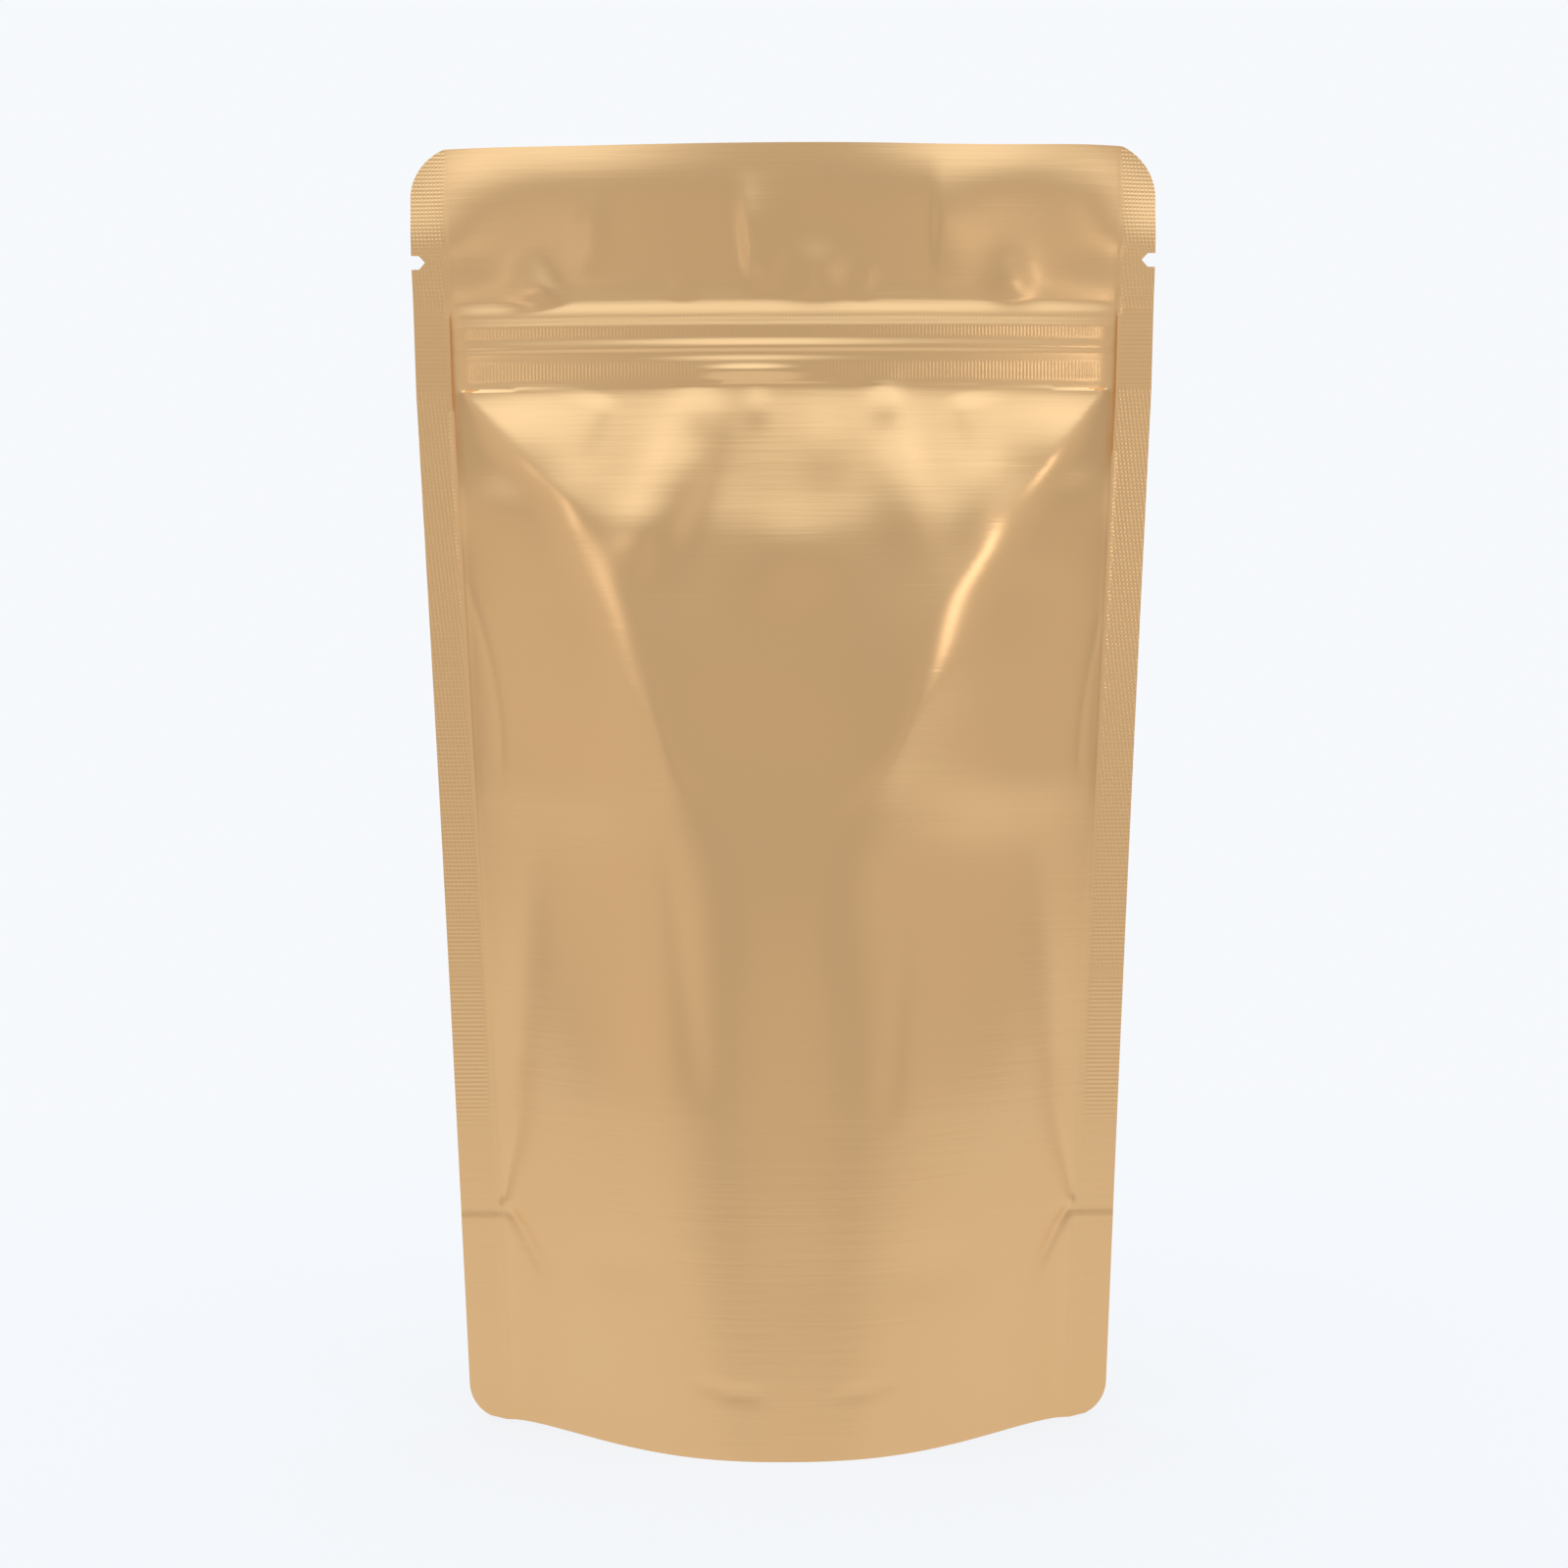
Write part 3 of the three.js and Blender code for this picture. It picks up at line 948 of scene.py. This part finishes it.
@dataclass
class Panel(FilmPiece):
    """A front or back panel: one sheet of film from the top edge down to the foot's rim, seals and all."""

    form: Form
    columns: int = 150
    seal_columns: int = 6
    crowding: float = 0.55
    stretches: tuple[Stretch, ...] = (
        Stretch(0.0, 6.3, 9),
        Stretch(6.3, 34.8, 24),
        Stretch(34.8, 40.0, 9),
        Stretch(40.0, 150.0, 92),
        Stretch(150.0, 178.0, 44),
        Stretch(178.0, 197.0, 62),
        Stretch(197.0, 201.59, 6),
        Stretch(201.59, 201.61, 1),
        Stretch(201.61, 202.8, 2),
        Stretch(202.8, 203.99, 2),
        Stretch(203.99, 204.01, 1),
        Stretch(204.01, 214.3, 14),
        Stretch(214.3, 223.0, 16),
    )
    seal_edge: Range = (-0.5, -0.1)
    crushed_seal: Zone = Zone(180.3, 194.3, 0.7)
    mesh_range: Range = (62.0, 95.0)
    rib_range: Range = (50.0, 58.0)
    crushed_rib_strength: float = 0.6
    rib_strength: float = 0.5
    knurls: tuple[Zone, Zone] = (Zone(189.2, 192.4, 0.4), Zone(181.8, 184.8, 0.4))
    knurl_edge: Range = (2.5, 5.0)
    knurl_strength: float = 0.5

    def _across(self, share: Array, z: Array) -> Array:
        """Give each point's place across the pouch. The first and last columns lie in the seals.

        Args:
            share: Each point's place across the sheet, from 0 to 1.
            z: Its height.

        Returns:
            The places in millimetres.
        """
        total = self.columns + 2 * self.seal_columns
        column = share * total
        side = np.where(column < total / 2, -1.0, 1.0)
        from_edge = np.minimum(column, total - column)
        outer = self.form.outline.half_width(z)
        inner = self.form.outline.inner_half_width(z)
        in_seal = outer + (inner - outer) * np.clip(from_edge / self.seal_columns, 0.0, 1.0)
        across = 2.0 * (column - self.seal_columns) / self.columns - 1.0
        crowded = np.sin(np.clip(across, -1.0, 1.0) * math.pi / 2)
        in_body = inner * (across + (crowded - across) * self.crowding)
        return np.where(from_edge < self.seal_columns, side * in_seal, in_body)

    def build(self) -> bpy.types.Object:
        """Cut the panel from flat film, shape it and give it its thickness.

        Returns:
            The finished piece.
        """
        outline = self.form.outline
        heights = np.append(np.concatenate([s.heights() for s in self.stretches]), outline.height)
        total = self.columns + 2 * self.seal_columns
        self.piece, across, up = flat_sheet(self.name, total, len(heights) - 1)
        z = heights[np.rint(up * (len(heights) - 1)).astype(int)]
        across = np.rint(across * total) / total
        if self.form.side is Side.BACK:  # mirrored, so that its faces look out too
            across = 1.0 - across
        x = self._across(across, z)
        y = self.form.side.value * self.form.depth(x, z)
        place_points(self.piece, x, y, z)
        self._press_patterns(x, z)
        give_thickness(self.piece, self.form.film)
        return self.piece

    def _press_patterns(self, x: Array, z: Array) -> None:
        """Mark where the sealing jaws pressed their patterns into the panel.

        Args:
            x: Each point's place across the pouch.
            z: Its height.
        """
        inset = self.form.outline.inner_half_width(z) - np.abs(x)
        seal = 1.0 - smoothstep(inset, *self.seal_edge)
        crushed = self.crushed_seal.at(z)
        meshed = smoothstep(z, *self.mesh_range)
        crushed_ribs = crushed * self.crushed_rib_strength
        low_ribs = (1.0 - meshed) * smoothstep(z, *self.rib_range) * self.rib_strength
        knurled = sum(knurl.at(z) for knurl in self.knurls) * smoothstep(inset, *self.knurl_edge)
        strengths = {
            Relief.MESH: seal * meshed * (1.0 - crushed),
            Relief.RIBS: seal * (crushed_ribs + low_ribs),
            Relief.KNURL: knurled * self.knurl_strength,
        }
        for relief, values in strengths.items():
            set_attribute(self.piece.data, relief, values)


@dataclass
class Gusset(FilmPiece):
    """The folded film in the foot. Its legs are welded inside the two panels and it arches between them."""

    front: Form
    back: Form
    columns: int = 110
    leg_rows: int = 26
    dome_rows: int = 60
    middle_rise: float = 7.5
    power: float = 2.15
    fold_rise: float = 2.4
    fold_sharpness: float = 1.35
    slack_depth: float = 12.0
    parting: float = 0.02
    edge_gap: float = 0.05

    def weld_height(self, share: Array) -> Array:
        """Give the height where the gusset leaves the panels: low in the middle, high at the seals."""
        top = self.front.outline.gusset_fold
        return self.middle_rise + (top - self.middle_rise) * np.abs(share) ** self.power

    def build(self) -> bpy.types.Object:
        """Fold the gusset from flat film and give it its thickness.

        Its outermost columns lie in the side seals.

        Returns:
            The finished piece.
        """
        rows = 2 * self.leg_rows + self.dome_rows
        self.piece, across, up = flat_sheet(self.name, self.columns, rows)
        column = np.rint(across * self.columns)
        share = np.clip((self.columns - 2.0 * column) / (self.columns - 2.0), -1.0, 1.0)
        in_seal = np.where(column < 1.0, 1.0, 0.0) - np.where(column > self.columns - 1.0, 1.0, 0.0)
        row = np.rint(up * rows)
        weld = self.weld_height(share)
        front_leg = row < self.leg_rows
        back_leg = row > self.leg_rows + self.dome_rows
        rise = np.where(front_leg, row / self.leg_rows, 1.0)
        rise = np.where(back_leg, (rows - row) / self.leg_rows, rise)
        z = weld * rise
        outline = self.front.outline
        inner = outline.inner_half_width(z)
        x = share * inner + in_seal * (outline.half_width(z) - self.edge_gap - inner)
        hidden = 2.0 * self.front.film
        reach = [np.maximum(form.depth(x, z) - hidden, self.parting) for form in (self.front, self.back)]
        over = np.clip((row - self.leg_rows) / self.dome_rows, 0.0, 1.0)
        y = -reach[0] + (reach[0] + reach[1]) * over
        swing = np.abs(2.0 * over - 1.0)
        slack = np.clip((reach[0] + reach[1]) / self.slack_depth, 0.0, 1.0)
        z = z + self.fold_rise * slack * (1.0 - swing**self.fold_sharpness)
        place_points(self.piece, x, y, z)
        for relief in Relief:
            set_attribute(self.piece.data, relief, np.zeros(len(x)))
        give_thickness(self.piece, self.front.film)
        return self.piece


# -------------------- the studio


@dataclass(frozen=True)
class Softbox:
    """A soft patch of light on the studio's dome, by the way it lies from the pouch.

    All its angles are in degrees. It is full within the inner angle and fades out at the outer one.
    """

    azimuth: float
    elevation: float
    inner: float
    outer: float
    colour: Colour

    def direction(self) -> Place:
        """Give the unit vector towards the patch. Azimuth 0 is behind the camera and 90 is to its right."""
        turn, rise = math.radians(self.azimuth), math.radians(self.elevation)
        return (math.sin(turn) * math.cos(rise), -math.cos(turn) * math.cos(rise), math.sin(rise))


@dataclass(frozen=True)
class LightCard:
    """A small panel of light close in front of the pouch, which draws out a ridge or an upper corner.

    A grid keeps its light within the spread, and the radiance is that along its middle.
    """

    place: Place
    aim: Place
    size: Range
    radiance: float
    colour: Colour = (1.0, 0.97, 1.0)
    spread: float = 34.0

    def hang(self) -> None:
        """Add the card, facing the point it is aimed at."""
        data = bpy.data.lights.new("card", "AREA")
        data.shape = "ELLIPSE"
        data.size, data.size_y = (side * MM for side in self.size)
        area = math.pi / 4.0 * data.size * data.size_y
        half_spread = math.radians(self.spread / 2.0)
        gathered = 1.0 - half_spread / math.tan(half_spread)
        data.energy = self.radiance * math.pi * area * gathered
        data.color = self.colour
        data.spread = math.radians(self.spread)
        card = bpy.data.objects.new("card", data)
        bpy.context.scene.collection.objects.link(card)
        card.location = Vector(self.place) * MM
        toward = Vector(self.aim) - Vector(self.place)
        card.rotation_euler = toward.to_track_quat("-Z", "Y").to_euler()
        card.visible_camera = False


@dataclass(frozen=True)
class Studio:
    """The light around the pouch: a pale dome with soft patches, four cards, and a white floor."""

    backdrop: Colour = (0.925, 0.945, 0.975)
    room: Colour = (0.56, 0.56, 0.56)
    patches: tuple[Softbox, ...] = (
        Softbox(0.0, 90.0, 38.0, 66.0, (0.68, 0.80, 0.92)),
        Softbox(70.0, 50.0, 8.0, 34.0, (0.22, 0.23, 0.27)),
        Softbox(-70.0, 50.0, 8.0, 34.0, (0.22, 0.23, 0.27)),
        Softbox(0.0, 4.0, 0.0, 14.0, (0.12, 0.105, 0.09)),
        Softbox(55.0, 8.0, 8.0, 30.0, (0.12, 0.11, 0.10)),
        Softbox(-55.0, 8.0, 8.0, 30.0, (0.18, 0.16, 0.15)),
    )
    cards: tuple[LightCard, ...] = (
        LightCard((137.0, -183.0, 195.0), (36.0, -10.0, 153.0), (46.0, 80.0), 3.2),
        LightCard((-137.0, -183.0, 195.0), (-36.0, -10.0, 153.0), (44.0, 70.0), 1.6),
        LightCard((97.0, -205.0, 240.0), (48.0, 0.0, 214.0), (38.0, 50.0), 0.8, spread=28.0),
        LightCard((-97.0, -205.0, 240.0), (-48.0, 0.0, 214.0), (38.0, 50.0), 0.7, spread=28.0),
    )
    floor_near: float = 0.10
    floor_far: float = 0.45
    floor_size: float = 0.65
    floor_sides: int = 64
    floor_glow: float = 0.85
    floor_mirrored: float = 0.92
    floor_albedo: Colour = (0.80, 0.80, 0.80)

    def light(self) -> None:
        """Paint the dome and hang the cards. The camera sees the plain backdrop in the dome's place."""
        world = bpy.data.worlds.new("studio")
        bpy.context.scene.world = world
        world.use_nodes = True
        nodes, links = world.node_tree.nodes, world.node_tree.links
        background = nodes["Background"]
        place = nodes.new("ShaderNodeTexCoord")
        glow = nodes.new("ShaderNodeRGB")
        glow.outputs["Color"].default_value = (*self.room, 1.0)
        total = glow.outputs["Color"]
        for patch in self.patches:
            toward = nodes.new("ShaderNodeVectorMath")
            toward.operation = "DOT_PRODUCT"
            toward.inputs[1].default_value = patch.direction()
            links.new(place.outputs["Generated"], toward.inputs[0])
            falloff = nodes.new("ShaderNodeMapRange")
            falloff.interpolation_type = "SMOOTHSTEP"
            falloff.inputs["From Min"].default_value = math.cos(math.radians(patch.outer))
            falloff.inputs["From Max"].default_value = math.cos(math.radians(patch.inner))
            links.new(toward.outputs["Value"], falloff.inputs["Value"])
            added = nodes.new("ShaderNodeMix")
            added.data_type = "RGBA"
            added.blend_type = "ADD"
            links.new(falloff.outputs["Result"], added.inputs["Factor"])
            links.new(total, added.inputs["A"])
            added.inputs["B"].default_value = (*patch.colour, 1.0)
            total = added.outputs["Result"]
        seen = nodes.new("ShaderNodeLightPath")
        swap = nodes.new("ShaderNodeMix")
        swap.data_type = "RGBA"
        swap.inputs["B"].default_value = (*self.backdrop, 1.0)
        links.new(seen.outputs["Is Camera Ray"], swap.inputs["Factor"])
        links.new(total, swap.inputs["A"])
        links.new(swap.outputs["Result"], background.inputs["Color"])
        for card in self.cards:
            card.hang()

    def lay_floor(self) -> None:
        """Lay the floor, which fades into the backdrop's colour away from the pouch."""
        deselect_all()
        bpy.ops.mesh.primitive_circle_add(
            vertices=self.floor_sides, radius=self.floor_size, fill_type="NGON"
        )
        floor = bpy.context.active_object
        floor.name = "floor"
        material = bpy.data.materials.new("white floor")
        material.use_nodes = True
        nodes, links = material.node_tree.nodes, material.node_tree.links
        nodes.clear()
        place = nodes.new("ShaderNodeTexCoord")
        reach = nodes.new("ShaderNodeVectorMath")
        reach.operation = "LENGTH"
        links.new(place.outputs["Object"], reach.inputs[0])
        fade = nodes.new("ShaderNodeMapRange")
        fade.interpolation_type = "SMOOTHSTEP"
        fade.inputs["From Min"].default_value = self.floor_near
        fade.inputs["From Max"].default_value = self.floor_far
        fade.inputs["To Min"].default_value = self.floor_glow
        links.new(reach.outputs["Value"], fade.inputs["Value"])
        near = nodes.new("ShaderNodeBsdfDiffuse")
        near.inputs["Color"].default_value = (*self.floor_albedo, 1.0)
        far = nodes.new("ShaderNodeEmission")
        far.inputs["Color"].default_value = (*self.backdrop, 1.0)
        seen = nodes.new("ShaderNodeLightPath")
        dimmed = nodes.new("ShaderNodeMapRange")
        dimmed.inputs["To Min"].default_value = self.floor_mirrored
        links.new(seen.outputs["Is Camera Ray"], dimmed.inputs["Value"])
        links.new(dimmed.outputs["Result"], far.inputs["Strength"])
        both = nodes.new("ShaderNodeMixShader")
        links.new(fade.outputs["Result"], both.inputs["Fac"])
        links.new(near.outputs["BSDF"], both.inputs[1])
        links.new(far.outputs["Emission"], both.inputs[2])
        surface = nodes.new("ShaderNodeOutputMaterial")
        links.new(both.outputs["Shader"], surface.inputs["Surface"])
        floor.data.materials.append(material)


@dataclass(frozen=True)
class ProductCamera:
    """The camera: in front of the pouch, a little above its middle, and looking slightly down."""

    place: Place = (-0.25, -523.0, 128.8)
    lens: float = 68.57
    tilt: float = 1.86
    roll: float = -0.24
    sensor_width: float = 36.0

    def set_up(self) -> None:
        """Add the camera and make it the scene's."""
        data = bpy.data.cameras.new("camera")
        data.lens = self.lens
        data.sensor_width = self.sensor_width
        camera = bpy.data.objects.new("camera", data)
        bpy.context.scene.collection.objects.link(camera)
        camera.location = Vector(self.place) * MM
        level = Matrix.Rotation(math.radians(90.0 - self.tilt), 4, "X")
        camera.rotation_euler = (level @ Matrix.Rotation(math.radians(self.roll), 4, "Z")).to_euler()
        bpy.context.scene.camera = camera


def main() -> None:
    """Build the pouch, its studio and its camera."""
    bpy.context.scene.view_settings.view_transform = "Standard"
    ProductCamera().set_up()
    studio = Studio()
    studio.light()
    studio.lay_floor()
    outline = Outline()
    # Seen from its own side, each panel is slacker on the left.
    slack = Cheek(
        Course((70.0, 108.0, 140.0, 158.0, 170.0), (0.50, 0.465, 0.43, 0.47, 0.60)),
        Course((98.0, 119.0, 135.0, 170.0, 180.0), (3.0, 0.4, 2.4, 2.6, 0.3)),
    )
    taut = Cheek(
        Course((70.0, 110.0, 142.0, 158.0, 170.0), (0.50, 0.44, 0.44, 0.55, 0.66)),
        Course((100.0, 121.0, 140.0, 170.0, 180.0), (3.0, 0.4, 2.4, 2.2, 0.3)),
    )
    closure = Zip()
    material = FoilFilm().material()
    collar, body = collar_folds(), body_folds()
    front_swell, back_swell = Swell(outline, (slack, taut)), Swell(outline, (taut, slack))
    front = Form(Side.FRONT, outline, front_swell, closure, collar, front_brow() + body)
    back = Form(Side.BACK, outline, back_swell, closure, collar, back_brow() + body)
    pieces = (
        Panel("pouch_front", front),
        Panel("pouch_back", back),
        Gusset("pouch_gusset", front, back),
    )
    for part in pieces:
        piece = part.build()
        part.dress(material)
        log.info("%s: %d faces", piece.name, len(piece.data.polygons))


if __name__ == "__main__":
    main()
